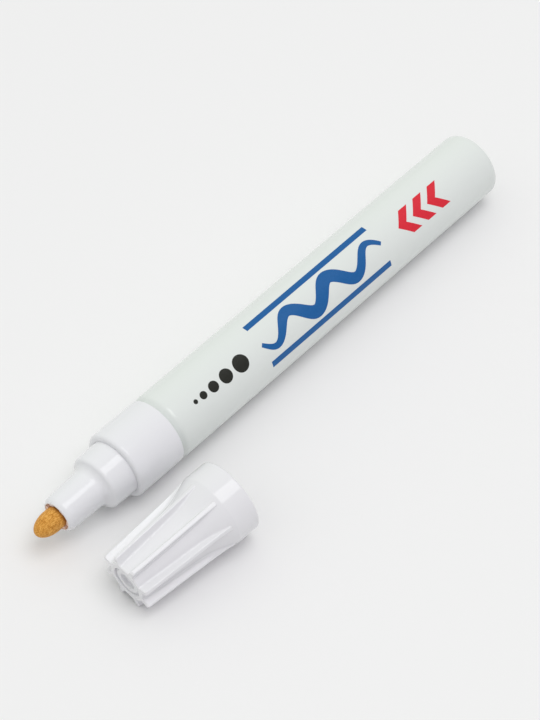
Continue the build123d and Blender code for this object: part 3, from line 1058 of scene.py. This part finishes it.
class MARKER_OT_stage(bpy.types.Operator):
    """Pale floor, soft box, soft light all round and the camera"""

    bl_idname = "marker.stage"
    bl_label = "Stage"
    # Mean height of the directions from which a level face is lit
    level_face_mean = 2 / 3

    def floor(self, context):
        """Pale matt floor that the marker and its cap lie on."""
        settings = context.scene.marker_stage
        half = settings.floor_size / 2
        mesh = bpy.data.meshes.new("floor")
        corners = [(-half, -half), (half, -half), (half, half), (-half, half)]
        mesh.from_pydata([(x, y, floor_height) for x, y in corners], [], [range(4)])
        sheet = new_object("floor", mesh)
        material, tree, shader = new_material("Floor")
        paint = opaque(context.scene.marker_colours.floor)
        feed(tree, shader, {"Base Color": paint, "Roughness": 0.9, "Specular IOR Level": 0.0})
        mesh.materials.append(material)

    def lights(self, context):
        """A soft box overhead, and soft light from the world, brighter and greener on one side."""
        settings = context.scene.marker_stage
        colours = context.scene.marker_colours
        lamp = bpy.data.lights.new("soft_box", "AREA")
        lamp.shape = "DISK"
        lamp.size = settings.key_size
        lamp.energy = settings.key_power
        key = new_object("soft_box", lamp)
        key.location = Vector((nose_low.x, 0, floor_height)) + Vector(settings.key_place)
        world = bpy.data.worlds.new("Studio")
        context.scene.world = world
        world.use_nodes = True
        tree = world.node_tree
        tree.nodes.clear()
        rays = put(tree, "ShaderNodeLightPath")
        mirrored = maths(tree, "MAXIMUM", rays["Is Glossy Ray"], rays["Is Transmission Ray"])
        seen = maths(tree, "MAXIMUM", rays["Is Camera Ray"], mirrored)
        way = put(tree, "ShaderNodeTexCoord")["Generated"]
        parts = put(tree, "ShaderNodeSeparateXYZ", {"Vector": way})
        even = settings.fill * (1 - settings.fill_top)
        top = settings.fill * settings.fill_top / self.level_face_mean
        lean = settings.fill * settings.fill_lean
        soft = maths(tree, "MULTIPLY_ADD", parts["Z"], top, even)
        soft = maths(tree, "MULTIPLY_ADD", parts["Y"], lean, soft)
        side = ranged(tree, parts["Y"], given=(-1, 1))
        light = {
            "Color": mixed(tree, side, colours.fill_right, colours.fill_left),
            "Strength": ranged(tree, seen, wanted=(soft, settings.backdrop)),
        }
        put(tree, "ShaderNodeOutputWorld", {"Surface": put(tree, "ShaderNodeBackground", light)[0]})

    def camera(self, context):
        """Camera where the photographer stood."""
        settings = context.scene.marker_stage
        data = bpy.data.cameras.new("view")
        data.lens = settings.lens
        data.clip_start = 0.01
        eye = new_object("view", data)
        azimuth, drop = settings.camera_azimuth, settings.camera_drop
        ahead = Vector((cos(drop) * cos(azimuth), cos(drop) * sin(azimuth), -sin(drop)))
        eye.location = settings.camera_place
        eye.rotation_mode = "QUATERNION"
        eye.rotation_quaternion = ahead.to_track_quat("-Z", "Y")
        context.scene.camera = eye

    def execute(self, context):
        context.scene.view_settings.view_transform = "Standard"
        self.floor(context)
        self.lights(context)
        self.camera(context)
        return {"FINISHED"}


class MARKER_PT_sidebar(bpy.types.Panel):
    """Sizes, colours and the buttons that make the marker piece by piece"""

    bl_label = "Paint Marker"
    bl_idname = "MARKER_PT_sidebar"
    bl_space_type = "VIEW_3D"
    bl_region_type = "UI"
    bl_category = "Marker"

    def draw(self, context):
        for name, group in GROUPS.items():
            box = self.layout.box()
            for identifier in group.__annotations__:
                box.prop(getattr(context.scene, name), identifier)
        for operator in OPERATORS:
            self.layout.operator(operator.bl_idname)


OPERATORS = (
    MARKER_OT_barrel,
    MARKER_OT_collar,
    MARKER_OT_nose,
    MARKER_OT_nib,
    MARKER_OT_cap,
    MARKER_OT_liner,
    MARKER_OT_print,
    MARKER_OT_valve,
    MARKER_OT_stage,
)
GROUPS = {
    "marker_body": BodySizes,
    "marker_cap": CapSizes,
    "marker_print": PrintSizes,
    "marker_colours": Colours,
    "marker_stage": StageSettings,
}


def register():
    for group in (*GROUPS.values(), *OPERATORS, MARKER_PT_sidebar):
        bpy.utils.register_class(group)
    for name, group in GROUPS.items():
        setattr(bpy.types.Scene, name, PointerProperty(type=group))


def unregister():
    for name in GROUPS:
        delattr(bpy.types.Scene, name)
    for group in reversed((*GROUPS.values(), *OPERATORS, MARKER_PT_sidebar)):
        bpy.utils.unregister_class(group)


def main():
    register()
    for operator in OPERATORS:
        group, name = operator.bl_idname.split(".")
        getattr(getattr(bpy.ops, group), name)()


if __name__ == "__main__":
    main()
